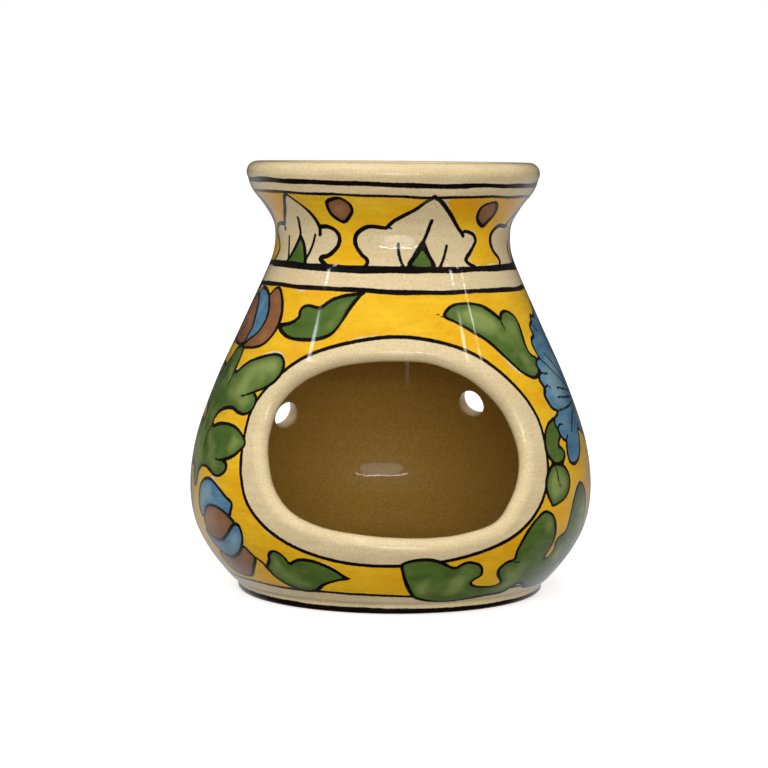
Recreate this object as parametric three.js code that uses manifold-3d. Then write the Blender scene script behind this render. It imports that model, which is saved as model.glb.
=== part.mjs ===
// Oil-burner lamp in glazed earthenware: a round-bellied pot on a low foot, with a cut window for the flame and
// two vents at the back, a waisted neck with a rolled lip luted on top, and a small oil dish that lifts out.
// Millimetres, +Z up. The origin is the centre of the foot, where the lamp stands. The window faces -Y.
import * as THREE from "three";
import { mergeVertices } from "three/addons/utils/BufferGeometryUtils.js";
import Module from "manifold-3d";

const wasm = await Module();
wasm.setup();

// The pot: a foot ring with a shallow recess under it, the wall, and the floor that a candle stands on.
const FOOT_RADIUS = 38.3;
const FOOT_HEIGHT = 2.4;
const FOOT_RING_INNER = 31;
const RECESS_DEPTH = 1.6;
const WALL = 4.6;
const FLOOR_HEIGHT = 5.2;
const FLOOR_RADIUS = 33;
const INNER_WALL_START = 11;

// The seam where the neck is luted to the pot. GAP is what two faces that only touch keep between them.
const SEAM_HEIGHT = 79;
const GAP = 0.3;

// The rolled lip, a round roll along the edge of the flared neck.
const LIP_TOP = 107;
const LIP_ROLL = 2.65;
const LIP_CENTRE_RADIUS = 33.85;
const LIP_START = -35;
const LIP_END = 190;

// The seat inside the mouth, a step that the dish rests on.
const SEAT_HEIGHT = 99.5;
const SEAT_OUTER = 30.9;
const SEAT_INNER = 27.2;
const NECK_INNER_TOP = 94.5;

// The dish that lies on the seat by its flange.
const FLANGE_RADIUS = 30.2;
const FLANGE_THICKNESS = 3;
const FLANGE_CHAMFER = 1;
const DISH_WALL = 3;
const DISH_BOTTOM = 83.6;
const DISH_MOUTH_RADIUS = 24.6;

// The vents, bored square to the wall. An azimuth is counted from the back, +Y, towards +X, in degrees.
const VENT_RADIUS = 3.85;
const VENTS = [
  { azimuth: 30, height: 43.8 },
  { azimuth: -39, height: 40.5 },
];
const VENT_SIDES = 18;

// The window's cutter starts inside the wall and ends outside it, as shares of the radius at mid-wall.
const CUT_FROM = 0.62;
const CUT_TO = 1.4;

const SEGMENTS = 60;
const POT_STEPS = 15;
const NECK_STEPS = 6;
const LIP_STEPS = 6;
const DISH_STEPS = 5;
const WINDOW_POINTS = 44;

const POT_GLAZE = new THREE.MeshStandardMaterial({ color: 0xe0ab2e, roughness: 0.16, metalness: 0 });
const NECK_GLAZE = new THREE.MeshStandardMaterial({ color: 0xe3b444, roughness: 0.16, metalness: 0 });
const DISH_GLAZE = new THREE.MeshStandardMaterial({ color: 0xd9c9a0, roughness: 0.18, metalness: 0 });

const at = (radius, height) => new THREE.Vector2(radius, height);

// The outside of belly, shoulder and neck, from the foot to the underside of the lip.
const outside = new THREE.SplineCurve([
  at(39.2, 2.8),
  at(43.9, 8),
  at(47.9, 14.5),
  at(50, 21),
  at(50.4, 27),
  at(49.5, 35.5),
  at(46.9, 44.5),
  at(42.9, 55),
  at(38.7, 64),
  at(35, 72),
  at(31.8, 79),
  at(29.9, 84),
  at(29.3, 88),
  at(29.8, 92),
  at(31.9, 96),
  at(34.6, 99.5),
  at(35.8, 101.8),
]);

// The underside of the dish, from the edge of its flat bottom up to its flange.
const dishOutside = new THREE.SplineCurve([
  at(12, DISH_BOTTOM),
  at(18.6, 85),
  at(22.8, 89),
  at(24.8, 94),
  at(26.2, SEAT_HEIGHT + GAP),
]);

// The share of a rising curve at which it reaches a height, by halving.
function shareAt(height, curve = outside) {
  let low = 0;
  let high = 1;
  for (let step = 0; step < 40; step++) {
    const middle = (low + high) / 2;
    if (curve.getPoint(middle).y < height) low = middle;
    else high = middle;
  }
  return (low + high) / 2;
}

// Points along a curve from one share of it to another, each moved inwards by a distance.
function along(curve, from, to, steps, distance = 0) {
  const points = [];
  for (let i = 0; i <= steps; i++) {
    const share = from + ((to - from) * i) / steps;
    const point = curve.getPoint(share);
    const tangent = curve.getTangent(share);
    points.push(at(point.x - tangent.y * distance, point.y + tangent.x * distance));
  }
  return points;
}

// A lathe-turned solid about Z from its half section.
function turned(section) {
  return new THREE.LatheGeometry(section, SEGMENTS).rotateX(Math.PI / 2);
}

// A closed geometry as a manifold-3d solid, for cutting.
function solidOf(geometry) {
  const bare = geometry.clone();
  bare.deleteAttribute("normal");
  bare.deleteAttribute("uv");
  const merged = mergeVertices(bare, 1e-4);
  return new wasm.Manifold(
    new wasm.Mesh({
      numProp: 3,
      vertProperties: new Float32Array(merged.attributes.position.array),
      triVerts: new Uint32Array(merged.index.array),
    }),
  );
}

function geometryOf(solid) {
  const mesh = solid.getMesh();
  const geometry = new THREE.BufferGeometry();
  geometry.setAttribute("position", new THREE.BufferAttribute(mesh.vertProperties, 3));
  geometry.setIndex(new THREE.BufferAttribute(mesh.triVerts, 1));
  geometry.computeVertexNormals();
  return geometry;
}

// The window's outline as seen from the front, across and up: a round arch over a flatter sill.
function windowShape() {
  const outline = new THREE.SplineCurve([
    at(0.5, 60.2),
    at(14.4, 58.2),
    at(25.8, 50),
    at(30.8, 38.5),
    at(28.8, 27.2),
    at(21, 21),
    at(6, 19.3),
    at(-9, 19.9),
    at(-21, 23),
    at(-28.4, 30.8),
    at(-30.2, 40),
    at(-26.8, 50),
    at(-14, 58.4),
    at(0.5, 60.2),
  ]);
  return new THREE.Shape(outline.getPoints(WINDOW_POINTS).slice(0, -1));
}

// The window's cutter: the outline carried out from the axis, so that the cut is square to the wall all round.
function windowCutter() {
  const cutter = new THREE.ExtrudeGeometry(windowShape(), { depth: 1, bevelEnabled: false });
  const position = cutter.attributes.position;
  for (let i = 0; i < position.count; i++) {
    const across = position.getX(i);
    const height = position.getY(i);
    const midWall = outside.getPoint(shareAt(height)).x - WALL / 2;
    const reach = position.getZ(i) > 0.5 ? CUT_TO : CUT_FROM;
    position.setXYZ(i, across * reach, -Math.sqrt(midWall ** 2 - across ** 2) * reach, height);
  }
  return solidOf(cutter);
}

// A vent's cutter: a round bar square to the wall, long enough to pass both its faces.
function ventCutter({ azimuth, height }) {
  const share = shareAt(height);
  const [midWall] = along(outside, share, share, 1, WALL / 2);
  const tangent = outside.getTangent(share);
  const bar = new THREE.CylinderGeometry(VENT_RADIUS, VENT_RADIUS, WALL * 3, VENT_SIDES);
  bar.rotateX(Math.atan2(-tangent.x, tangent.y));
  bar.translate(0, midWall.x, midWall.y);
  bar.rotateZ(-THREE.MathUtils.degToRad(azimuth));
  return solidOf(bar);
}

// The pot, turned from its half section and cut for the window and the vents.
function chamberPot() {
  const top = shareAt(SEAM_HEIGHT - GAP / 2);
  const section = [at(0, RECESS_DEPTH), at(FOOT_RING_INNER - RECESS_DEPTH, RECESS_DEPTH)];
  section.push(at(FOOT_RING_INNER, 0), at(FOOT_RADIUS, 0), at(FOOT_RADIUS, FOOT_HEIGHT));
  section.push(...along(outside, 0, top, POT_STEPS));
  const inside = along(outside, top, shareAt(INNER_WALL_START), POT_STEPS, WALL);
  inside[0].y = section.at(-1).y;
  section.push(...inside, at(37.4, 6.9), at(35.6, 5.7), at(FLOOR_RADIUS, FLOOR_HEIGHT), at(0, FLOOR_HEIGHT));
  let solid = solidOf(turned(section)).subtract(windowCutter());
  for (const vent of VENTS) solid = solid.subtract(ventCutter(vent));
  return geometryOf(solid);
}

// The neck with its rolled lip and the seat inside its mouth, a ring whose half section closes on itself.
function neckCollar() {
  const bottom = shareAt(SEAM_HEIGHT + GAP / 2);
  const section = along(outside, bottom, 1, NECK_STEPS * 2);
  const startHeight = section[0].y;
  for (let i = 0; i <= LIP_STEPS; i++) {
    const turn = THREE.MathUtils.degToRad(LIP_START + ((LIP_END - LIP_START) * i) / LIP_STEPS);
    const centreHeight = LIP_TOP - LIP_ROLL;
    section.push(at(LIP_CENTRE_RADIUS + LIP_ROLL * Math.cos(turn), centreHeight + LIP_ROLL * Math.sin(turn)));
  }
  section.push(at(SEAT_OUTER, SEAT_HEIGHT), at(SEAT_INNER, SEAT_HEIGHT));
  const inside = along(outside, shareAt(NECK_INNER_TOP), bottom, NECK_STEPS, WALL);
  inside.at(-1).y = startHeight;
  section.push(...inside, section[0]);
  return turned(section);
}

// The dish: a flat-bottomed bowl under a flange, turned from its half section.
function oilDish() {
  const flangeTop = SEAT_HEIGHT + GAP + FLANGE_THICKNESS;
  const section = [at(0, DISH_BOTTOM), ...along(dishOutside, 0, 1, DISH_STEPS)];
  section.push(at(FLANGE_RADIUS, SEAT_HEIGHT + GAP), at(FLANGE_RADIUS, flangeTop - FLANGE_CHAMFER));
  section.push(at(FLANGE_RADIUS - FLANGE_CHAMFER, flangeTop), at(DISH_MOUTH_RADIUS + FLANGE_CHAMFER, flangeTop));
  const inside = along(dishOutside, 1, 0, DISH_STEPS, DISH_WALL);
  inside[0].x = DISH_MOUTH_RADIUS - FLANGE_CHAMFER;
  section.push(...inside, at(0, DISH_BOTTOM + DISH_WALL));
  return turned(section);
}

const lamp = new THREE.Group();

function addPiece(name, geometry, material) {
  const piece = new THREE.Mesh(geometry, material);
  piece.name = name;
  lamp.add(piece);
}

addPiece("chamber_pot", chamberPot(), POT_GLAZE);
addPiece("neck_collar", neckCollar(), NECK_GLAZE);
addPiece("oil_dish", oilDish(), DISH_GLAZE);

export default lamp;
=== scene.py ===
import math

import bmesh
import bpy
import numpy as np
from mathutils import Matrix, Vector
from mathutils.kdtree import KDTree


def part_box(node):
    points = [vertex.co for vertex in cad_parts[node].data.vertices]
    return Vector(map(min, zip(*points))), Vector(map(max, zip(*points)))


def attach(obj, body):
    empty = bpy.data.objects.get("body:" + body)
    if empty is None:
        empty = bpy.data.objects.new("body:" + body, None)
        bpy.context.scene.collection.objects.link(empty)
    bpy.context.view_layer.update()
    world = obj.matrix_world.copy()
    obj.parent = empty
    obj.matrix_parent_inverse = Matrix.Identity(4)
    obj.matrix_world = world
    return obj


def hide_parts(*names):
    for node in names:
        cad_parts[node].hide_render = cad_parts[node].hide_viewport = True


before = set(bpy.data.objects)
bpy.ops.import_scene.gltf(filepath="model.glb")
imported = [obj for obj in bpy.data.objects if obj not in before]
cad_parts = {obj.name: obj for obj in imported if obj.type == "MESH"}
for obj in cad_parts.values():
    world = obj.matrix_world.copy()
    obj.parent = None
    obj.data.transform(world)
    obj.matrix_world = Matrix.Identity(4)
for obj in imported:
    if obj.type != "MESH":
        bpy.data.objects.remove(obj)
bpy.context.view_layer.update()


# ---- The view -------------------------------------------------------------------------------
# The lamp is looked at from a little above its lip, from about 60 cm in front of the window,
# on a plain white table, with a large soft light overhead and smaller ones that draw the glints.

camera_data = bpy.data.cameras.new("camera")
camera_data.sensor_width = 36
camera_data.lens = 112.97
camera_data.clip_start = 0.05
camera_data.clip_end = 20
camera = bpy.data.objects.new("camera", camera_data)
look_down = Matrix.Rotation(math.radians(90 - 5.7), 4, "X")
held_askew = Matrix.Rotation(math.radians(0.5), 4, "Z")
camera.matrix_world = Matrix.Translation((-0.00185, -0.603, 0.1115)) @ look_down @ held_askew
bpy.context.scene.collection.objects.link(camera)
bpy.context.scene.camera = camera

floor_mesh = bpy.data.meshes.new("floor")
floor_bm = bmesh.new()
bmesh.ops.create_grid(floor_bm, x_segments=1, y_segments=1, size=3)
floor_bm.to_mesh(floor_mesh)
floor_bm.free()
floor = bpy.data.objects.new("floor", floor_mesh)
bpy.context.scene.collection.objects.link(floor)
floor_paint = bpy.data.materials.new("white_table")
floor_paint.use_nodes = True
floor_surface = floor_paint.node_tree.nodes["Principled BSDF"]
floor_surface.inputs["Base Color"].default_value = (0.92, 0.92, 0.92, 1)
floor_surface.inputs["Roughness"].default_value = 0.6
floor_surface.inputs["Emission Color"].default_value = (1, 1, 1, 1)
floor_surface.inputs["Emission Strength"].default_value = 0.6
floor_mesh.materials.append(floor_paint)
floor.visible_glossy = False
floor.visible_diffuse = False

FILL_BELOW = 0.38
FILL_ABOVE = 0.78
GLOSS_DIMMING = -0.94
TABLE_SHEEN = 0.4


def add(tree, kind, inputs=None, **settings):
    """Adds a shader node; each input is a value or the socket that feeds it."""
    made = tree.nodes.new("ShaderNode" + kind)
    for name, value in settings.items():
        setattr(made, name, value)
    for key, value in (inputs or {}).items():
        if isinstance(value, bpy.types.NodeSocket):
            tree.links.new(value, made.inputs[key])
        else:
            made.inputs[key].default_value = value
    return made


def maths(tree, operation, *values):
    return add(tree, "Math", dict(enumerate(values)), operation=operation).outputs[0]


def ramp(tree, value, low, high, first=0.0, last=1.0, smooth=False):
    """Goes from the first to the last value while a value goes from low to high, and stays there beyond."""
    inputs = {"Value": value, "From Min": low, "From Max": high, "To Min": first, "To Max": last}
    kind = "SMOOTHSTEP" if smooth else "LINEAR"
    return add(tree, "MapRange", inputs, interpolation_type=kind).outputs[0]


# A white backdrop, which lights the lamp from above and is dim in its glaze. Only the white table
# behind the lamp shows in the glaze, along its sides below the belly's widest part.
world = bpy.data.worlds.new("studio")
world.use_nodes = True
sky = world.node_tree
backdrop = sky.nodes["Background"]
backdrop.inputs["Color"].default_value = (1, 1, 1, 1)
ray = add(sky, "LightPath").outputs
direction = add(sky, "TexCoord").outputs["Generated"]
_, backwards, upwards = add(sky, "SeparateXYZ", {"Vector": direction}).outputs
fill = ramp(sky, upwards, -0.3, 0.9, FILL_BELOW, FILL_ABOVE)
dimmed = maths(sky, "MULTIPLY_ADD", ray["Is Glossy Ray"], GLOSS_DIMMING, 1.0)
fill = maths(sky, "MULTIPLY", fill, dimmed)
table = ramp(sky, backwards, 0.2, 0.75, 0.0, TABLE_SHEEN)
table = maths(sky, "MULTIPLY", table, ramp(sky, upwards, 0.0, -0.25))
fill = maths(sky, "MULTIPLY_ADD", table, ray["Is Glossy Ray"], fill)
strength = add(sky, "Mix", {"Factor": ray["Is Camera Ray"], 2: fill, 3: 1.0})
sky.links.new(strength.outputs[0], backdrop.inputs["Strength"])
bpy.context.scene.world = world
bpy.context.scene.view_settings.view_transform = "Standard"


def studio_light(name, place, size, power, colour=(1, 1, 1), aim=(0, 0, 0.055)):
    data = bpy.data.lights.new(name, "AREA")
    data.shape = "RECTANGLE"
    data.size, data.size_y = size
    data.energy = power
    data.color = colour
    lamp = bpy.data.objects.new(name, data)
    lamp.location = place
    lamp.rotation_euler = (Vector(aim) - Vector(place)).to_track_quat("-Z", "Y").to_euler()
    bpy.context.scene.collection.objects.link(lamp)
    return lamp


studio_light("overhead", (0, -0.35, 0.9), (0.9, 0.7), 3.5).visible_glossy = False
studio_light("front_fill", (0, -1.1, 0.35), (0.5, 0.4), 2.3).visible_glossy = False
studio_light("left_soft", (-0.72, -0.16, 0.46), (0.3, 0.25), 0.75, (0.86, 0.93, 1)).visible_glossy = False
studio_light("front_card", (0.095, -0.9, 0.06), (0.46, 0.26), 0.7).data.shape = "ELLIPSE"
bars = ((-0.23, 0.175, 20), (-0.12, 0.2, 4), (0, 0.193, -4), (0.12, 0.202, 3), (0.23, 0.178, -22))
for across, rise, lean in bars:
    bar = studio_light(f"front_bar_{rise}", (0.095 + across, -0.9, rise), (0.13, 0.014), 0.13)
    bar.rotation_euler.rotate_axis("Z", math.radians(lean))
GLINT_REACH = 0.7
glints = (
    ("left", ((-67, 0.56, 0.035), (-60, 0.52, 0.05)), (0.86, 0.93, 1)),
    ("right", ((56, 0.5, 0.02), (61, 0.58, 0.03), (68, 0.51, 0.02), (73, 0.55, 0.015)), (1, 0.98, 0.93)),
)
for side, windows, colour in glints:
    for turned, rise, spread in windows:
        away = math.radians(turned)
        place = (GLINT_REACH * math.sin(away), -GLINT_REACH * math.cos(away), rise)
        studio_light(f"{side}_window", place, (spread, 0.02), 0.8 * spread, colour)


# ---- The pot --------------------------------------------------------------------------------
# Thrown on a wheel in buff earthenware: a foot ring, a round belly and a floor for the candle.
# The window and the two vents are cut while the clay is soft, and their edges are wiped round.

MM = 0.001
WALL = 4.6
SEAM = 79.0
FLOOR = 5.2
RECESS = 1.6


def smooth_line(points, closed=False, per_span=12):
    """A Catmull-Rom curve through the points, as an array of closely spaced points."""
    points = np.array(points, float)
    if closed:
        padded = np.vstack([points[-1:], points, points[:2]])
    else:
        padded = np.vstack([2 * points[0] - points[1], points, 2 * points[-1] - points[-2]])
    share = np.linspace(0, 1, per_span, endpoint=False)[:, None]
    spans = []
    for a, b, c, d in zip(padded, padded[1:], padded[2:], padded[3:]):
        bend = (2 * a - 5 * b + 4 * c - d) * share**2 + (3 * b - a - 3 * c + d) * share**3
        spans.append(0.5 * (2 * b + (c - a) * share + bend))
    if not closed:
        spans.append(points[-1:])
    return np.vstack(spans)


def evenly(line, spacing):
    """The same line with its points about a fixed distance apart."""
    line = np.array(line, float)
    run = np.concatenate([[0], np.cumsum(np.linalg.norm(np.diff(line, axis=0), axis=1))])
    stops = np.linspace(0, run[-1], max(2, round(run[-1] / spacing) + 1))
    return np.column_stack([np.interp(stops, run, line[:, k]) for k in range(line.shape[1])])


# Radius and height of the outer skin, from above the foot to the underside of the lip.
skin = evenly(smooth_line([
    (39.3, 2.9), (40.54, 4), (43.95, 8), (46.66, 12), (49.03, 17), (50.26, 23), (50.25, 30), (48.95, 38),
    (46.41, 46), (42.84, 55), (38.67, 64), (35.01, 72), (31.85, 79), (29.88, 84), (29.31, 88), (29.74, 92),
    (31.95, 96), (34.71, 99.5), (35.77, 101.6),
]), 0.1)
skin_slope = np.gradient(skin, axis=0)
skin_slope /= np.linalg.norm(skin_slope, axis=1)[:, None]


def wall_at(height, depth=0.0):
    """Radius and height at a depth under the skin's point at a height, and the normal there."""
    radius = np.interp(height, skin[:, 1], skin[:, 0])
    out = np.interp(height, skin[:, 1], skin_slope[:, 1])
    up = -np.interp(height, skin[:, 1], skin_slope[:, 0])
    return radius - depth * out, height - depth * up, out, up


def wall_points(azimuth, height, depth=0.0):
    """Places on the wall in millimetres and its normals there. The window is at azimuth 0."""
    radius, level, out, up = wall_at(height, depth)
    sine, cosine = np.sin(np.radians(azimuth)), np.cos(np.radians(azimuth))
    places = np.column_stack([radius * sine, -radius * cosine, level])
    return places, np.column_stack([out * sine, -out * cosine, up])


def around(places):
    """Azimuth in degrees and height of places in millimetres."""
    return np.degrees(np.arctan2(places[:, 0], -places[:, 1])), places[:, 2]


def places_of(verts):
    return np.array([vert.co for vert in verts]) / MM


def turn(bm, outline, steps):
    """Spins a half outline of radius and height round the axis: a twelfth of a turn, twelve times."""
    verts = [bm.verts.new((radius * MM, 0, height * MM)) for radius, height in outline]
    edges = [bm.edges.new(pair) for pair in zip(verts, verts[1:])]
    axis = {"cent": (0, 0, 0), "axis": (0, 0, 1)}
    bmesh.ops.spin(bm, geom=verts + edges, angle=math.tau / 12, steps=steps // 12, **axis)
    sector = bm.verts[:] + bm.edges[:] + bm.faces[:]
    bmesh.ops.spin(bm, geom=sector, angle=math.tau * 11 / 12, steps=11, use_duplicate=True, **axis)
    bmesh.ops.remove_doubles(bm, verts=bm.verts, dist=0.01 * MM)


def hole_rim(outline, grow, depth=0.0):
    """The line on the wall where the rounding of a hole's edge begins: its outline, grown by a distance.
    Returns its places, the wall's normals and the directions into the hole."""
    azimuth, height = outline.T
    for distance in (grow, 0):
        places, normals = wall_points(azimuth, height)
        along = np.roll(places, -2, axis=0) - np.roll(places, 2, axis=0)
        into = np.cross(normals, along)
        into /= np.linalg.norm(into, axis=1)[:, None]
        into *= np.sign(np.sum(into * (places.mean(axis=0) - places), axis=1).mean())
        azimuth, height = around(places - into * distance)
    places, normals = wall_points(azimuth, height, depth)
    return places, normals, into


def inside(azimuth, height, outline):
    """Which places lie inside a closed outline of azimuth and height, by counting crossings."""
    odd = np.zeros(len(azimuth), bool)
    for (a0, h0), (a1, h1) in zip(outline, np.roll(outline, -1, axis=0)):
        if h0 != h1:
            crosses = (h0 > height) != (h1 > height)
            odd ^= crosses & (azimuth < a0 + (height - h0) * (a1 - a0) / (h1 - h0))
    return odd


def tree_of(places):
    tree = KDTree(len(places))
    for index, place in enumerate(places):
        tree.insert(place * MM, index)
    tree.balance()
    return tree


def cut_hole(bm, rim, relax):
    """Deletes the wall inside a rim, draws the ragged edge onto it and relaxes the faces beside it."""
    places = rim[0]
    tree = tree_of(places)
    azimuth, height = around(places_of(bm.verts))
    gone = inside(azimuth, height, np.column_stack(around(places)))
    bmesh.ops.delete(bm, geom=[vert for vert, out in zip(bm.verts, gone) if out], context="VERTS")
    near = [vert for vert in bm.verts if tree.find(vert.co)[2] < relax * MM]
    edge = [vert for vert in near if vert.is_boundary]
    for vert in edge:
        vert.co = tree.find(vert.co)[0]
    bmesh.ops.remove_doubles(bm, verts=edge, dist=0.15 * MM)
    loose = [vert for vert in near if vert.is_valid and not vert.is_boundary]
    for _ in range(8):
        bmesh.ops.smooth_vert(bm, verts=loose, factor=0.5, use_axis_x=True, use_axis_y=True, use_axis_z=True)


def open_edges(bm, tree, reach):
    """The open edges of a mesh that lie within a reach of a hole's rim."""
    return [
        edge for edge in bm.edges
        if edge.is_boundary and tree.find((edge.verts[0].co + edge.verts[1].co) / 2)[2] < reach * MM
    ]


def round_edge(bm, rim, path):
    """Carries a hole's edge along a path of steps into the hole and under the skin."""
    places, normals, into = rim
    tree = tree_of(places)
    rim_place = bm.verts.layers.int.get("rim_place") or bm.verts.layers.int.new("rim_place")
    edges = open_edges(bm, tree, 1)
    for vert in {vert for edge in edges for vert in edge.verts}:
        vert[rim_place] = tree.find(vert.co)[1]
    for sideways, under in path:
        made = bmesh.ops.extrude_edge_only(bm, edges=edges)["geom"]
        fresh = {item for item in made if isinstance(item, bmesh.types.BMVert)}
        for vert in fresh:
            here = vert[rim_place]
            vert.co = (places[here] + into[here] * sideways - normals[here] * under) * MM
        edges = [item for item in made if isinstance(item, bmesh.types.BMEdge) and set(item.verts) <= fresh]


# The window's clear opening, across and up, where the rounded edge of the wall comes closest.
window_clear = evenly(smooth_line([
    (2, 19.6), (-7.3, 20.3), (-16.7, 21.8), (-23.8, 24.9), (-28.1, 30.4), (-29.8, 38.3), (-29.2, 44.1),
    (-26.8, 49.9), (-21.6, 55), (-14.4, 58.5), (-7.4, 60), (0, 60.5), (7.9, 60.2), (13.8, 58.5),
    (19.7, 55.5), (25.7, 50), (29.2, 44.1), (30.9, 38.2), (30.6, 32.5), (28.4, 26.9), (25, 22.6),
    (18.4, 20.5), (11.3, 19.6),
], closed=True), 0.12)
middle_radius, middle_level = wall_at(skin[:, 1], WALL / 2)[:2]
window_height = np.interp(window_clear[:, 1], middle_level, skin[:, 1])
window_radius = np.interp(window_clear[:, 1], middle_level, middle_radius)
window_azimuth = np.degrees(np.arcsin(window_clear[:, 0] / window_radius))
window_outline = np.column_stack([window_azimuth, window_height])

VENT_RADIUS = 3.85
VENT_EDGE = 0.8


def vent_outline(azimuth, height):
    turns = np.linspace(0, math.tau, 180, endpoint=False)
    across = np.degrees(VENT_RADIUS * np.cos(turns) / wall_at(height)[0])
    return np.column_stack([azimuth + across, height + VENT_RADIUS * np.sin(turns) * wall_at(height)[2]])


def rounding(radius, sweep, steps):
    """Steps sideways and under the skin along an arc that starts level with it."""
    turns = [sweep * step / steps for step in range(1, steps + 1)]
    return [(radius * math.sin(turn_by), radius * (1 - math.cos(turn_by))) for turn_by in turns]


half_round = rounding(WALL / 2, math.pi, 12)
quarter = rounding(VENT_EDGE, math.pi / 2, 4)
vent_path = quarter + [(sideways, WALL - under) for sideways, under in quarter[::-1]] + [(0, WALL)]
holes = [(window_outline, WALL / 2, half_round)]
for azimuth, height in ((150, 43.8), (-141, 40.5)):
    holes.append((vent_outline(azimuth, height), VENT_EDGE, vent_path))

# Foot ring and recess below, then the skin up to the seam. The floor and the inner wall are coarser.
foot = [
    (0, RECESS), (10, RECESS), (20, RECESS), (28, RECESS), (29.2, 1.5), (30.3, 0.5), (31, 0.1),
    (32, 0), (34.5, 0), (37.2, 0), (37.9, 0.15), (38.25, 0.55), (38.3, 1.1), (38.3, 1.7), (38.35, 2.2),
    (38.7, 2.55),
]
pot_skin = evenly(skin[skin[:, 1] <= SEAM + 0.03], 0.56)
pot_skin[-1, 1] = SEAM
inner_heights = np.linspace(SEAM, 12, 34)
inner_wall = np.column_stack(wall_at(inner_heights, WALL)[:2])
inner_wall[0, 1] = SEAM
floor_turn = smooth_line([inner_wall[-1], (40.1, 8.8), (37.6, 6.6), (35, 5.5), (32, FLOOR)], per_span=3)
floor_line = [(22, FLOOR), (11, FLOOR), (0, FLOOR)]

pot_bm = bmesh.new()
turn(pot_bm, foot + pot_skin.tolist(), 540)
for outline, grow, path in holes:
    rim = hole_rim(outline, grow)
    cut_hole(pot_bm, rim, 1.8)
    round_edge(pot_bm, rim, path)

inside_bm = bmesh.new()
turn(inside_bm, inner_wall.tolist() + floor_turn[1:].tolist() + floor_line, 180)
for outline, grow, path in holes:
    cut_hole(inside_bm, hole_rim(outline, grow + 1, depth=WALL), 4)
inside_mesh = bpy.data.meshes.new("pot_inside")
inside_bm.to_mesh(inside_mesh)
inside_bm.free()
pot_bm.from_mesh(inside_mesh)
for outline, grow, path in holes:
    rim_tree = tree_of(hole_rim(outline, grow, depth=WALL)[0])
    bmesh.ops.bridge_loops(pot_bm, edges=open_edges(pot_bm, rim_tree, 3))
bmesh.ops.bridge_loops(pot_bm, edges=[edge for edge in pot_bm.edges if edge.is_boundary])
bmesh.ops.recalc_face_normals(pot_bm, faces=pot_bm.faces)


def finish_piece(name, bm, sharp_levels=()):
    """Makes an object of a closed mesh, smooth but for the edges that lie on the given levels."""
    for face in bm.faces:
        face.smooth = True
    for edge in bm.edges:
        if any(all(abs(vert.co.z / MM - level) < 0.01 for vert in edge.verts) for level in sharp_levels):
            edge.smooth = False
    mesh = bpy.data.meshes.new(name)
    bm.to_mesh(mesh)
    bm.free()
    piece = bpy.data.objects.new(name, mesh)
    bpy.context.scene.collection.objects.link(piece)
    return piece


pot = finish_piece("painted_pot", pot_bm, [SEAM])


# The painting is brushed on the dry slip by hand: yellow ground, leaves in copper green, flowers in
# blue and brown, all outlined in black. Every shape is an outline of azimuth and height on the wall,
# and each vertex stores how deep it lies inside each paint, in millimetres. Past MARGIN it stores FAR.
FAR = -9.0
MARGIN = 4.0
DEGREES_OF_MARGIN = 8.0
MM_PER_DEGREE = 0.75
PAINTS = ("cream", "green", "blue", "brown", "stroke")

# Where the inside is measured otherwise than by its distance from the skin.
FLOOR_TURN_TOP = 13.0
FOOT_RADIUS, FOOT_TOP = 37.5, 2.9
MOUTH_RADIUS, MOUTH_START = 33.4, 98.5
BARE_RADIUS, BARE_TOP = 37.9, 1.75


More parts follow.
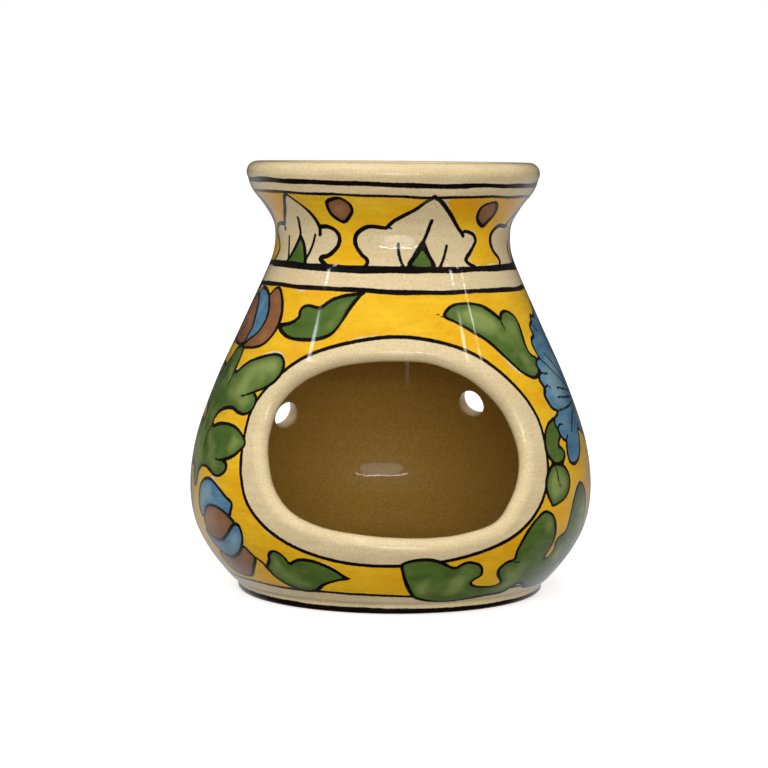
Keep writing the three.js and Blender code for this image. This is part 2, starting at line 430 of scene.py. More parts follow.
class Painting:
    """The paint on one piece: for each vertex, the depth inside every paint and inside the brush strokes."""

    def __init__(self, piece):
        self.piece = piece
        places = np.empty(len(piece.data.vertices) * 3)
        piece.data.vertices.foreach_get("co", places)
        self.places = places.reshape(-1, 3) / MM
        self.azimuth, self.height = around(self.places)
        self.coats = {paint: np.full(len(self.places), FAR) for paint in PAINTS}

    def close_to(self, line):
        """The vertices near a line, their azimuths counted the short way from it, their distances to it
        and the nearest point of the line."""
        middle = line[:, 0].mean()
        turned = (self.azimuth - middle + 180) % 360 - 180 + middle
        near = turned > line[:, 0].min() - DEGREES_OF_MARGIN
        near &= turned < line[:, 0].max() + DEGREES_OF_MARGIN
        near &= (self.height > line[:, 1].min() - MARGIN) & (self.height < line[:, 1].max() + MARGIN)
        near = np.flatnonzero(near)
        here = wall_points(turned[near], self.height[near])[0]
        there = wall_points(line[:, 0], line[:, 1])[0]
        apart = np.full(len(near), 1e9)
        nearest = np.zeros(len(near), int)
        for index, place in enumerate(there):
            distance = np.sum((here - place) ** 2, axis=1)
            closer = distance < apart
            apart[closer] = distance[closer]
            nearest[closer] = index
        return near, turned[near], np.sqrt(apart), nearest

    def shape(self, paint, points):
        """Lays a shape of one paint over what is there."""
        line = self.dense(points, closed=True)
        near, azimuth, apart, _ = self.close_to(line)
        depth = np.where(inside(azimuth, self.height[near], line), apart, -apart)
        for name, coat in self.coats.items():
            coat[near] = np.maximum(coat[near], depth) if name == paint else np.minimum(coat[near], -depth)

    def stroke(self, points, start=0.3, end=0.3):
        """Draws one black brush stroke, whose half width runs from start to end."""
        line = self.dense(points, closed=False)
        near, _, apart, nearest = self.close_to(line)
        width = start + (end - start) * nearest / (len(line) - 1)
        self.coats["stroke"][near] = np.maximum(self.coats["stroke"][near], width - apart)

    def dense(self, points, closed):
        line = smooth_line(points, closed=closed, per_span=10)
        scale = np.array([MM_PER_DEGREE, 1.0])
        return evenly(np.vstack([line, line[:1]]) * scale if closed else line * scale, 0.15) / scale

    def store(self):
        """Writes the coats, the drawn level and the depth under the skin onto the piece."""
        tilt = np.interp(self.height, (5, 77, 102), (0.004, 0.0107, 0.014))
        turns = np.radians(self.azimuth)
        waver = 0.16 * np.sin(3 * turns + 1) + 0.1 * np.sin(7 * turns)
        waver += 0.06 * np.sin(16 * turns + self.height)
        self.coats["level"] = self.height + tilt * self.places[:, 0] + waver * (self.height > 2.5)
        radius = np.hypot(self.places[:, 0], self.places[:, 1])
        from_skin = np.full(len(radius), 99.0)
        for skin_radius, skin_height in skin[::4]:
            from_skin = np.minimum(from_skin, np.hypot(radius - skin_radius, self.height - skin_height))
        beside_floor = self.height < FLOOR_TURN_TOP
        from_skin[beside_floor] = (wall_at(self.height)[0] - radius)[beside_floor]
        from_skin[(self.height < FOOT_TOP) & (radius > FOOT_RADIUS)] = 0
        in_the_mouth = np.clip(MOUTH_RADIUS - radius, 0, 3)
        self.coats["under"] = np.where(self.height > MOUTH_START, in_the_mouth, from_skin)
        self.coats["bare"] = np.where(self.height < BARE_TOP, BARE_RADIUS - radius, FAR)
        for name, values in self.coats.items():
            attribute = self.piece.data.attributes.new(name, "FLOAT", "POINT")
            attribute.data.foreach_set("value", values)


def mirrored(points, about):
    return [(2 * about - azimuth, height) for azimuth, height in points]


def shifted(points, by):
    return [(azimuth + by, height) for azimuth, height in points]


window_border = [
    (-45.8, 33), (-47, 41), (-46.9, 48.2), (-42.1, 54.3), (-32.5, 60.4), (-18.3, 64.2), (0.2, 66.2),
    (17.4, 64.9), (31.7, 61.1), (43, 54.2), (49, 46.8), (49.5, 38.5), (48.2, 31.6), (43.7, 24.9),
    (36, 19.5), (25.3, 16.1), (13.8, 14.1), (2.4, 13.3), (-11.7, 13.7), (-24.6, 16.1), (-35, 20.3),
    (-42.4, 26.2),
]

# Left of the window: a tulip on a bunch of rounded leaves, a small flower under it, and two single leaves.
tulip = {
    "brown": [
        (-67, 62), (-62.5, 61.8), (-57.7, 62.1), (-53.5, 62.8), (-50.3, 64.4), (-48.2, 66.9),
        (-47.9, 69.4), (-49, 71.7), (-51.4, 74), (-54.5, 75.8), (-57.2, 76.5), (-60.1, 75.9), (-62, 74.6),
        (-68, 73), (-71, 66),
    ],
    "blue": [
        (-67, 62.3), (-63.6, 63.8), (-60.4, 65), (-58, 66.7), (-57.1, 69), (-58, 71.3), (-60.4, 73.2),
        (-63, 74.6), (-66.2, 75.5), (-69.4, 75.9), (-74, 75.6), (-76, 70), (-71, 62.6),
    ],
}
tulip_heart = [
    (-67.4, 62.6), (-66.5, 64.8), (-65.4, 66.1), (-65.9, 67.2), (-67.3, 69.2), (-69.4, 71.3), (-72, 73.2),
    (-76, 74.4), (-80, 73.2), (-82.6, 71.3), (-84.7, 69.2), (-86, 66.5), (-84, 64), (-76, 62.4),
]
leaf_bunch = [
    (-65.6, 61.8), (-64.4, 59), (-64.6, 56.6), (-62.8, 55.9), (-59.8, 57.5), (-56.7, 58.8), (-52.4, 59.8),
    (-48.2, 60.6), (-43.9, 61.1), (-40.7, 60.6), (-38.9, 59.2), (-38.7, 57.3), (-39.9, 55.5), (-42.3, 54),
    (-45.5, 52.8), (-48.2, 52), (-46.6, 50.9), (-46.2, 49.2), (-47.4, 47.5), (-49.8, 46.7), (-52.9, 46.9),
    (-56.7, 47.7), (-60.4, 47.5), (-63.6, 46.7), (-65.7, 45.6), (-67, 43.8), (-65.6, 42.7), (-63.6, 43.2),
    (-59.8, 43.8), (-56.1, 43.9), (-51.9, 43.4), (-48.2, 42), (-46, 40.1), (-48.2, 38), (-50.3, 36.8),
    (-53.5, 35.7), (-54.8, 35.4), (-53.5, 35.1), (-52.5, 34), (-53.5, 32.6), (-55.6, 31.7), (-58.2, 31.5),
    (-61.4, 32.4), (-64.1, 33), (-66.7, 33), (-68.9, 32.2), (-70.2, 30.5), (-71, 28.4), (-73, 27.6),
    (-75, 29.5), (-77.4, 32.4), (-82, 31.8), (-87.5, 31.6), (-90.5, 33), (-89.5, 35), (-93, 36),
    (-98, 39.5), (-96, 42.4), (-90, 43.8), (-83, 43.7), (-78.6, 43), (-78, 45.4), (-83, 47.2), (-92, 46.7),
    (-98, 48), (-98, 51), (-95.5, 52.4), (-103, 54.2), (-106, 57.5), (-103.5, 60.4), (-97, 60.8),
    (-88, 59.6), (-81, 57.2), (-76.5, 57), (-73.8, 59), (-71, 61.6),
]
bunch_folds = [
    [(-65.3, 61.5), (-64.3, 59), (-64.4, 56.5), (-64.9, 54.4), (-65.9, 52.2)],
    [(-46, 52.7), (-50.8, 51.4), (-54.3, 50.7)],
    [(-51, 36.5), (-56.7, 35.3), (-58.9, 35.4)],
    [(-67.4, 42.6), (-68.6, 40.6), (-68.4, 37.4)],
    [(-72.8, 58.4), (-71.8, 56), (-72.2, 53.4)],
    [(-97, 52.6), (-91, 51.6), (-88, 50.8)],
    [(-93, 36.2), (-87, 35.4), (-84.5, 35.6)],
]
small_flower = [
    ("brown", [
        (-47.1, 15.3), (-45, 14.3), (-43.4, 12.6), (-45.5, 10.5), (-48.2, 8.4), (-50.8, 7.2), (-54.5, 6.8),
        (-58.8, 7), (-62, 7.8), (-63.9, 9.7), (-62.5, 12), (-56, 14.5),
    ]),
    ("blue", [
        (-48.2, 20.8), (-46, 19.5), (-46, 17.2), (-47.6, 15.1), (-50.3, 13.2), (-53.5, 12), (-56.7, 11.5),
        (-59.8, 12), (-62.5, 13), (-65, 14.6), (-66.2, 17.4), (-60, 20),
    ]),
    ("blue", [
        (-67, 28.4), (-64.6, 29.9), (-61.7, 30.4), (-58.8, 30), (-55.1, 28.6), (-51.9, 27), (-49, 25.7),
        (-49.5, 23.8), (-50.8, 22.4), (-58, 20.6), (-65.7, 20.5), (-67.8, 21.3), (-68.6, 23.4),
        (-68.1, 26.3),
    ]),
    ("brown", [
        (-64.3, 22), (-62.5, 23.4), (-59.8, 24), (-56.7, 24), (-53.5, 23.4), (-50.8, 22.4), (-48.5, 21),
        (-50.3, 19.6), (-52.4, 18), (-55.1, 16.5), (-57.2, 15.8), (-59.8, 15.5), (-63, 15.9),
        (-65.1, 17.2), (-66, 19.4),
    ]),
]
leaf_by_tulip = [
    (-12.5, 76.1), (-12.5, 76.1), (-19.1, 75.5), (-23.4, 74.8), (-26.5, 73.8), (-29.4, 72.5),
    (-31.8, 72.5), (-35, 72.8), (-37.4, 72.5), (-38.7, 71.5), (-38.3, 70.2), (-40.1, 69), (-43, 68.3),
    (-47.8, 67.8), (-47.8, 67.8), (-45.1, 66.5), (-41.9, 65.5), (-38.2, 65), (-34.5, 64.9), (-30.8, 65),
    (-27.6, 65.3), (-24.4, 65.9), (-21.8, 67.1), (-19.6, 69.2), (-17.5, 71.9), (-15.4, 74),
]
leaf_under_window = [
    (-39.6, 10.6), (-38.8, 11.6), (-37.8, 12.5), (-37, 14.2), (-35.6, 15.2), (-33.8, 15.2), (-31.9, 14.2),
    (-30.4, 12.4), (-29, 13.1), (-26.4, 13.8), (-23.2, 13.8), (-20, 13.1), (-16.8, 11.9), (-14.2, 10.4),
    (-12.6, 9.6), (-12.6, 9.6), (-15.7, 9.1), (-18.9, 8.3), (-21.6, 7.3), (-23.7, 6.1), (-26.4, 5.4),
    (-30.1, 5.4), (-33.8, 6.2), (-36.7, 7.4), (-38.6, 8.6),
]

# Right of the window: a carnation, a lobed leaf that grows from it, two small leaves and a spray at the foot.
carnation = [
    (84, 70.6), (77, 70.2), (73.2, 69.4), (70.9, 69.8), (69, 69.2), (68.6, 68.4), (65.7, 67.8),
    (64.6, 66.6), (65, 65.1), (62, 64.5), (60.8, 63), (61.4, 61.2), (62.1, 60), (59.6, 59.6), (58, 58.4),
    (58.9, 56.8), (57.3, 56.2), (56.5, 54.8), (57.8, 53), (56.5, 51.4), (57.3, 49.4), (58.8, 48),
    (61.1, 47.4), (60.5, 46.6), (57.8, 45.7), (57.2, 44.4), (58.2, 43.2), (58.5, 41.9), (59.9, 40.6),
    (61.6, 40.2), (60.8, 38.9), (60.4, 37.1), (61.1, 35.2), (63.4, 34.5), (66.3, 34.8), (68.9, 36),
    (70.9, 37.5), (72.7, 39.8), (74.8, 42), (79, 40.6), (84, 40),
]
carnation_folds = [
    [(61.6, 60), (66.9, 57.5), (71.5, 55.3), (76.7, 53.2), (81, 51.6)],
    [(66.9, 52.6), (72.7, 51.9), (81, 50.8)],
    [(65.1, 50.3), (70.9, 50), (81, 49.4)],
    [(61, 47.4), (68, 47.5), (73.2, 47.8), (81, 48.4)],
    [(67, 41.8), (69.8, 43.9), (73.2, 45.7), (79.5, 47.3)],
    [(58.6, 56.5), (61.2, 56.3), (63.6, 56.2)],
    [(57.8, 53), (60.4, 53.4), (62, 52.7)],
    [(58, 43.3), (60, 44.2), (61.8, 44.2)],
    [(60, 40.5), (62, 40.6), (63.2, 41.4)],
    [(68.4, 67.4), (70.3, 66.6), (71.4, 65.8)],
    [(67.6, 60.8), (73, 58), (79, 54.4)],
    [(77, 69.6), (80, 62), (83, 54)],
]
leaf_by_carnation = [
    (20.4, 70.9), (22.4, 72.6), (25.6, 73.5), (29.7, 73.7), (33.7, 73.6), (37.8, 73.1), (41.3, 72),
    (44.1, 70.8), (45.8, 69.8), (46.5, 70.1), (47.9, 71.1), (50.5, 71.5), (53.4, 71), (55.7, 69.9),
    (56.6, 68.1), (56.1, 65.4), (55.8, 63.1), (56.4, 61.5), (58, 60.6), (59.9, 60), (59.6, 58.4),
    (58.2, 57), (56.3, 56), (53.4, 55.7), (50.5, 56.4), (47.6, 57.6), (44.7, 59.5), (41.8, 61.5),
    (38.9, 63.5), (35.5, 65.4), (32, 66.7), (28.5, 68.1), (24.5, 69.5),
]
curled_leaf = [
    (57.5, 45.7), (55.9, 45.5), (53.6, 44.8), (51.3, 43.2), (49.8, 41), (49.5, 38.7), (50.7, 36.9),
    (52.7, 35.5), (55.3, 35.4), (57.6, 36), (58.6, 37.6), (57.4, 38.8), (56.2, 39.3), (56.8, 40.5),
    (58.4, 41.6), (57.9, 43.3),
]
round_leaf = [
    (51.8, 35.3), (48.9, 33.5), (47.6, 31), (48.1, 28.5), (49.7, 26.4), (50.4, 25.6), (53.1, 26),
    (56.1, 26.8), (58.2, 28.1), (59.4, 29.8), (59.5, 31.8), (58.4, 33.5), (56, 34.9),
]
spray_at_foot = [
    (3.4, 13.6), (3.7, 11.5), (4.7, 9), (6.3, 6.5), (8.4, 4.6), (13.9, 3.5), (20.3, 3.2), (26.6, 3.5),
    (34, 4), (41, 4.3), (44.5, 5.5), (47, 6.3), (49.5, 5.8), (52, 4.7), (56, 4.3), (64, 4.2), (74, 4.4),
    (84, 4.6), (84, 13), (78, 15.5), (73.8, 19), (72.6, 23.9), (71.7, 26.4), (69.6, 28.5), (66.7, 29.5),
    (64.3, 28.5), (62.2, 26.4), (60.8, 23.5), (60, 20.2), (59.3, 18.3), (57.6, 17.7), (55.6, 16.9),
    (55, 15.9), (55.8, 14.6), (55, 12.6), (53, 12), (52.3, 12.9), (53.2, 15.5), (53.4, 18.5), (52.1, 21.5),
    (50.2, 23.5), (47, 24.5), (43.8, 23), (41.3, 20.8), (39.4, 18), (38.4, 15.4), (38.6, 13.4),
    (36.2, 12.9), (34.6, 11.9), (34, 10.8), (34.9, 9.4), (36.8, 8.1), (37.4, 7.1), (34.9, 6.5),
    (31.1, 6.6), (28.6, 6.9), (26.6, 7.4), (25.6, 8.1), (26.4, 9), (28.2, 10), (27.9, 11.5), (26.6, 12.8),
    (24.4, 13.5), (22.2, 13.7), (20.3, 13), (19, 12.4), (17.1, 12.9), (14.5, 14), (12, 14.7), (8.8, 14.9),
    (5.6, 14.5),
]

belly = Painting(pot)
belly.shape("cream", window_border)
belly.stroke(window_border + window_border[:1], 0.5, 0.5)
for place in (leaf_by_tulip, leaf_under_window):
    belly.shape("green", place)
    belly.shape("green", mirrored(place, -72))
    belly.shape("green", shifted(place, 241))
belly.stroke([(-47, 15.2), (-43.6, 13.2), (-40.9, 11.7), (-39.7, 10)], 0.3, 0.5)
for turn_by in (0, 252):
    belly.shape("green", shifted(leaf_bunch, turn_by))
    for fold in bunch_folds:
        belly.stroke(shifted(fold, turn_by), 0.36, 0.3)
    for flip in (False, True):
        for paint, outline in tulip.items():
            belly.shape(paint, shifted(mirrored(outline, -76) if flip else outline, turn_by))
    belly.shape("brown", shifted(tulip_heart, turn_by))
    for paint, outline in small_flower:
        belly.shape(paint, shifted(outline, turn_by))
        belly.shape(paint, shifted(mirrored(outline, -73), turn_by))
for flip in (False, True):
    side = (lambda points: mirrored(points, 84)) if flip else (lambda points: points)
    belly.shape("green", side(spray_at_foot))
    belly.shape("green", side(leaf_by_carnation))
    belly.shape("green", side(curled_leaf))
    belly.shape("green", side(round_leaf))
    belly.shape("blue", side(carnation))
    belly.stroke(side([(17, 71.5), (20.4, 70.6)]), 0.2, 0.3)
    belly.stroke(side([(45.6, 69.9), (46.3, 68.6), (46.7, 67.4)]), 0.32, 0.28)
    belly.stroke(side([(52.9, 34.6), (53.4, 31.8), (54.2, 29.8)]), 0.34, 0.28)
    belly.stroke(side([(38.7, 12.8), (41.5, 12.3)]), 0.32, 0.25)
    for fold in carnation_folds:
        belly.stroke(side(fold), 0.32, 0.34)
belly.store()


def tint(red, green, blue):
    """A colour for a socket, from its red, green and blue as 0 to 255 on a screen."""
    shares = [share / 255 for share in (red, green, blue)]
    return (*[s / 12.92 if s <= 0.04045 else ((s + 0.055) / 1.055) ** 2.4 for s in shares], 1)


def blend(tree, share, under, over, blend_type="MIX"):
    """Lays one colour over another where the share is 1."""
    inputs = {"Factor": share, 6: under, 7: over}
    return add(tree, "Mix", inputs, data_type="RGBA", blend_type=blend_type).outputs[2]


def blend_value(tree, share, under, over):
    return add(tree, "Mix", {"Factor": share, 2: under, 3: over}).outputs[0]


def new_group(name, takes, gives):
    """A shader node group with named inputs and outputs; returns it and the two ends inside it."""
    group = bpy.data.node_groups.new(name, "ShaderNodeTree")
    for label, value in takes.items():
        kind = "NodeSocketColor" if isinstance(value, tuple) else "NodeSocketFloat"
        group.interface.new_socket(label, in_out="INPUT", socket_type=kind).default_value = value
    for label, kind in gives.items():
        group.interface.new_socket(label, in_out="OUTPUT", socket_type="NodeSocket" + kind)
    return group, group.nodes.new("NodeGroupInput").outputs, group.nodes.new("NodeGroupOutput").inputs


def place_group(tree, group, **values):
    """Places a group in a material with its own values, named with _ for a space."""
    made = tree.nodes.new("ShaderNodeGroup")
    made.node_tree = group
    for name, value in values.items():
        socket = made.inputs[name.replace("_", " ")]
        if isinstance(value, bpy.types.NodeSocket):
            tree.links.new(value, socket)
        else:
            socket.default_value = value
    return made.outputs


def noise(tree, vector, scale, detail=2.0, roughness=0.5, stretch=None):
    """Noise on a piece, with its scale in waves per metre, stretched by factors along x, y and z."""
    if stretch:
        vector = add(tree, "Mapping", {"Vector": vector, "Scale": stretch}).outputs[0]
    inputs = {"Vector": vector, "Scale": scale, "Detail": detail, "Roughness": roughness}
    return add(tree, "TexNoise", inputs).outputs[0]


# Where a coat of paint lies: its depth field with an edge that wavers as a brush does.
brushed_edge, take, give = new_group("brushed_edge", {
    "Depth": 0.0, "Waver": 0.1, "Waver Scale": 900.0, "Softness": 0.08,
}, {"Mask": "Float"})
object_place = add(brushed_edge, "TexCoord").outputs["Object"]
wave = maths(brushed_edge, "SUBTRACT", noise(brushed_edge, object_place, take["Waver Scale"], 2), 0.5)
swing = maths(brushed_edge, "MULTIPLY", take["Waver"], 2)
edge = maths(brushed_edge, "MULTIPLY_ADD", wave, swing, take["Depth"])
outer = maths(brushed_edge, "MULTIPLY", take["Softness"], -1)
brushed_edge.links.new(ramp(brushed_edge, edge, outer, take["Softness"], smooth=True), give["Mask"])

# Streaks that a loaded brush leaves as it is drawn round the pot, as a value from 0 to 1.
brush_streaks, take, give = new_group(
    "brush_streaks", {"Patch Scale": 70.0, "Streak Scale": 260.0, "Streak Share": 0.5}, {"Load": "Float"}
)
object_place = add(brush_streaks, "TexCoord").outputs["Object"]
patches = noise(brush_streaks, object_place, take["Patch Scale"], 3, 0.55, (0.7, 0.7, 1.6))
streaks = noise(brush_streaks, object_place, take["Streak Scale"], 4, 0.6, (0.28, 0.28, 2.6))
load = add(brush_streaks, "Mix", {"Factor": take["Streak Share"], 2: patches, 3: streaks}).outputs[0]
brush_streaks.links.new(ramp(brush_streaks, load, 0.3, 0.7), give["Load"])

# Specks of iron and grog that show through a pale slip or a glaze, and small pits.
clay_specks, take, give = new_group(
    "clay_specks", {"Scale": 900.0, "Share": 0.3, "Size": 0.3}, {"Mask": "Float"}
)
object_place = add(clay_specks, "TexCoord").outputs["Object"]
grains = add(clay_specks, "TexVoronoi", {"Vector": object_place, "Scale": take["Scale"], "Randomness": 1.0})
lot = add(clay_specks, "SeparateColor", {"Color": grains.outputs["Color"]}).outputs[0]
radius = maths(clay_specks, "MULTIPLY", take["Size"], maths(clay_specks, "LESS_THAN", lot, take["Share"]))
spot = maths(clay_specks, "SUBTRACT", radius, grains.outputs["Distance"])
clay_specks.links.new(ramp(clay_specks, spot, 0.0, 0.14, smooth=True), give["Mask"])

# The glaze's skin: the slow swell of a thrown wall, faint throwing lines and a fine orange peel.
glaze_skin, take, give = new_group(
    "glaze_skin", {"Swell": 0.5, "Rings": 0.2, "Peel": 0.2, "Paint Relief": 0.0}, {"Height": "Float"}
)
object_place = add(glaze_skin, "TexCoord").outputs["Object"]
swell = maths(glaze_skin, "MULTIPLY", noise(glaze_skin, object_place, 75, 2, 0.45), take["Swell"])
rings = noise(glaze_skin, object_place, 190, 2, 0.5, (0.08, 0.08, 1.6))
peel = noise(glaze_skin, object_place, 420, 3, 0.5)
height = maths(glaze_skin, "MULTIPLY_ADD", rings, take["Rings"], swell)
height = maths(glaze_skin, "MULTIPLY_ADD", peel, take["Peel"], height)
height = maths(glaze_skin, "ADD", height, take["Paint Relief"])
glaze_skin.links.new(height, give["Height"])

SLIP = tint(240, 220, 176)
SLIP_SHADE = tint(208, 182, 134)
SPECK = tint(96, 62, 34)
INK = tint(9, 7, 6)
BARE_CLAY = tint(196, 140, 98)
INSIDE = tint(204, 164, 78)
# Across-place and half width, in millimetres, of the painted highlight streak inside the back wall.
HIGHLIGHT_STREAK_PLACE = 4.4
HIGHLIGHT_STREAK_HALF_WIDTH = 0.5


def coat_of(tree, name):
    return add(tree, "Attribute", attribute_name=name).outputs["Fac"]


def painted_glaze(name, ground, lines, half_width, lines_on_top):
    """The painted finish of a piece: its yellow ground between two levels, its lines round the piece as
    level and half width, the half width of its outlines, and whether the lines lie over the leaves."""
    material = bpy.data.materials.new(name)
    material.use_nodes = True
    tree = material.node_tree
    surface = tree.nodes["Principled BSDF"]
    object_place = add(tree, "TexCoord").outputs["Object"]
    cream, green, blue, brown, stroke = (coat_of(tree, paint) for paint in PAINTS)
    level, under, bare = (coat_of(tree, field) for field in ("level", "under", "bare"))

    # Slip, mottled where it is thin, with specks of clay.
    mottle = place_group(tree, brush_streaks, Patch_Scale=120, Streak_Scale=420, Streak_Share=0.45)["Load"]
    grain = ramp(tree, noise(tree, object_place, 2200, 3, 0.6), 0.3, 0.7)
    thickness = maths(tree, "MULTIPLY_ADD", grain, 0.55, maths(tree, "MULTIPLY", mottle, 0.45))
    slip = blend(tree, thickness, SLIP_SHADE, SLIP)

    # The yellow ground stops a little short of the drawn shapes here and there.
    shapes = maths(tree, "MAXIMUM", maths(tree, "MAXIMUM", cream, green), maths(tree, "MAXIMUM", blue, brown))
    low, high = ground
    above, below = maths(tree, "SUBTRACT", level, low), maths(tree, "SUBTRACT", high, level)
    between = maths(tree, "MINIMUM", above, below)
    gaps = ramp(tree, noise(tree, object_place, 150, 2), 0.5, 0.7, -0.1)
    ground_depth = maths(tree, "MINIMUM", between, maths(tree, "MULTIPLY", shapes, -1))
    ground_depth = maths(tree, "SUBTRACT", ground_depth, gaps)
    yellow_mask = place_group(
        tree, brushed_edge, Depth=ground_depth, Waver=0.25, Waver_Scale=600, Softness=0.15
    )[0]
    load = place_group(tree, brush_streaks, Patch_Scale=75, Streak_Scale=240, Streak_Share=0.35)["Load"]
    yellow = blend(tree, load, tint(248, 206, 38), tint(235, 168, 4))
    clouds = ramp(tree, noise(tree, object_place, 34, 3, 0.55), 0.45, 0.68, last=0.4, smooth=True)
    yellow = blend(tree, clouds, yellow, tint(226, 152, 4))
    dabs = ramp(tree, noise(tree, object_place, 420, 3, 0.6, (1, 1, 1.8)), 0.5, 0.75, last=0.4)
    yellow = blend(tree, dabs, yellow, tint(214, 150, 8))
    colour = blend(tree, yellow_mask, slip, yellow)

    # The lines that run round the piece.
    wander = maths(tree, "SUBTRACT", noise(tree, object_place, 60, 2), 0.5)
    drawn = maths(tree, "MULTIPLY_ADD", wander, 0.5, level)
    swelling = maths(tree, "SUBTRACT", noise(tree, object_place, 110, 2), 0.5)
    banding = -9.0
    for centre, half_line in lines:
        from_line = maths(tree, "ABSOLUTE", maths(tree, "SUBTRACT", drawn, centre))
        within = maths(tree, "SUBTRACT", half_line, from_line)
        inked = maths(tree, "MULTIPLY_ADD", swelling, 0.6 * half_line, within)
        banding = maths(tree, "MAXIMUM", banding, inked)

    # Green, blue and brown fill their shapes, thin in places.
    washes = (
        (green, tint(66, 92, 34), tint(92, 116, 46), tint(150, 164, 92), 0.75),
        (blue, tint(58, 104, 138), tint(100, 150, 176), tint(160, 188, 188), 0.5),
        (brown, tint(128, 78, 46), tint(152, 102, 64), tint(186, 140, 98), 0.4),
    )
    for coat, thick_colour, wash_colour, bare_colour, paleness in washes:
        load = place_group(tree, brush_streaks, Patch_Scale=150, Streak_Scale=380, Streak_Share=0.4)["Load"]
        wash = blend(tree, load, thick_colour, wash_colour)
        pale = noise(tree, object_place, 95, 2, 0.45)
        pale = ramp(tree, pale, 0.42, 0.68, last=paleness, smooth=True)
        middle = ramp(tree, coat, 0.3, 2.4)
        wash = blend(tree, maths(tree, "MULTIPLY", pale, middle), wash, bare_colour)
        mask = place_group(tree, brushed_edge, Depth=coat, Waver=0.2, Waver_Scale=700, Softness=0.12)[0]
        colour = blend(tree, mask, colour, wash)

    # Ink: the outline of every shape, the brush strokes and the lines round the piece.
    width = maths(tree, "MULTIPLY_ADD", swelling, 0.6, half_width)
    inked = stroke
    for coat in (cream, green, blue, brown):
        beside = maths(tree, "SUBTRACT", width, maths(tree, "ABSOLUTE", coat))
        inked = maths(tree, "MAXIMUM", inked, beside)
    if not lines_on_top:
        banding = maths(tree, "MINIMUM", banding, maths(tree, "MULTIPLY", green, -1))
    inked = maths(tree, "MAXIMUM", inked, banding)
    ink_mask = place_group(tree, brushed_edge, Depth=inked, Waver=0.12, Waver_Scale=1400, Softness=0.1)[0]
    thin_ink = place_group(tree, brush_streaks, Patch_Scale=240, Streak_Scale=600, Streak_Share=0.5)["Load"]
    thin_ink = maths(tree, "MULTIPLY", maths(tree, "POWER", thin_ink, 3.0), 0.5)
    ink = blend(tree, thin_ink, INK, tint(46, 35, 29))
    colour = blend(tree, ink_mask, colour, ink)

    # Specks come through everything but the ink. The inside is dipped in an ochre glaze.
    specks = place_group(tree, clay_specks, Scale=780, Share=0.1, Size=0.19)["Mask"]
    dust = place_group(tree, clay_specks, Scale=1700, Share=0.16, Size=0.28)["Mask"]
    specks = maths(tree, "MAXIMUM", specks, maths(tree, "MULTIPLY", dust, 0.4))
    specks = maths(tree, "MULTIPLY", specks, maths(tree, "MULTIPLY_ADD", ink_mask, -0.9, 1.0))
    specks = maths(tree, "MULTIPLY", specks, maths(tree, "MULTIPLY_ADD", yellow_mask, -0.45, 0.75))
    colour = blend(tree, specks, colour, SPECK)
    in_the_wall = ramp(tree, under, 0.5, 0.9)
    colour = blend(tree, in_the_wall, colour, blend(tree, specks, slip, SPECK))
    ragged_depth = maths(tree, "MULTIPLY_ADD", noise(tree, object_place, 200, 2), 0.4, under)
    inside_mask = ramp(tree, ragged_depth, 4.05, 4.5, smooth=True)
    inside_glaze_and_highlight = blend(tree, grain, INSIDE, tint(168, 130, 50))

    # A painted highlight: a thin pale streak, laid in the colour down the inside of the back wall, that fades
    # out half way.
    across, back, up = add(tree, "SeparateXYZ", {"Vector": object_place}).outputs
    from_highlight_streak = maths(tree, "ABSOLUTE", maths(tree, "MULTIPLY_ADD", across, 1 / MM, -HIGHLIGHT_STREAK_PLACE))
    beside_highlight_streak = maths(tree, "SUBTRACT", HIGHLIGHT_STREAK_HALF_WIDTH, from_highlight_streak)
    # The mask of the painted highlight streak.
    run = place_group(tree, brushed_edge, Depth=beside_highlight_streak, Waver=0.12, Waver_Scale=500, Softness=0.2)[0]
    run = maths(tree, "MULTIPLY", run, maths(tree, "GREATER_THAN", back, 0.02))
    highlight_fade = ramp(tree, up, 0.046, 0.056)
    # The pale colour laid here is the painted highlight, not slip.
    inside_glaze_and_highlight = blend(tree, maths(tree, "MULTIPLY", run, highlight_fade), inside_glaze_and_highlight, tint(236, 220, 178))
    colour = blend(tree, inside_mask, colour, inside_glaze_and_highlight)
    bare_mask = place_group(tree, brushed_edge, Depth=bare, Waver=0.3, Waver_Scale=500, Softness=0.15)[0]
    clay = blend(tree, mottle, BARE_CLAY, tint(178, 120, 80))
    grog = place_group(tree, clay_specks, Scale=900, Share=0.3, Size=0.32)["Mask"]
    clay = blend(tree, grog, clay, SPECK)
    colour = blend(tree, bare_mask, colour, clay)
    tree.links.new(colour, surface.inputs["Base Color"])

    # One clear glaze over all of it, thin enough for the ink to stand up a little.
    paint_relief = maths(tree, "MULTIPLY", ink_mask, 0.03)
    skin_height = place_group(
        tree, glaze_skin, Swell=0.8, Rings=1.0, Peel=0.6, Paint_Relief=paint_relief
    )["Height"]
    bump = add(tree, "Bump", {"Strength": 0.55, "Distance": 0.0006, "Height": skin_height})
    tree.links.new(bump.outputs[0], surface.inputs["Normal"])
    dull = maths(tree, "MULTIPLY_ADD", noise(tree, object_place, 90, 3), 0.12, 0.2)
    dull = blend_value(tree, inside_mask, dull, 0.42)
    tree.links.new(blend_value(tree, bare_mask, dull, 0.85), surface.inputs["Roughness"])
    coat_weight = blend_value(tree, inside_mask, 1.0, 0.6)
    tree.links.new(blend_value(tree, bare_mask, coat_weight, 0.0), surface.inputs["Coat Weight"])
    surface.inputs["Coat Roughness"].default_value = 0.06
    surface.inputs["Coat IOR"].default_value = 1.5
    surface.inputs["IOR"].default_value = 1.45
    surface.inputs["Specular IOR Level"].default_value = 0.25
    return material


pot.data.materials.append(
    painted_glaze("belly_glaze", (5.2, 76.6), [(0.45, 1.08), (5.3, 0.34), (76.65, 0.56)], 0.44, False)
)
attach(pot, "burner")
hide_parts("chamber_pot")


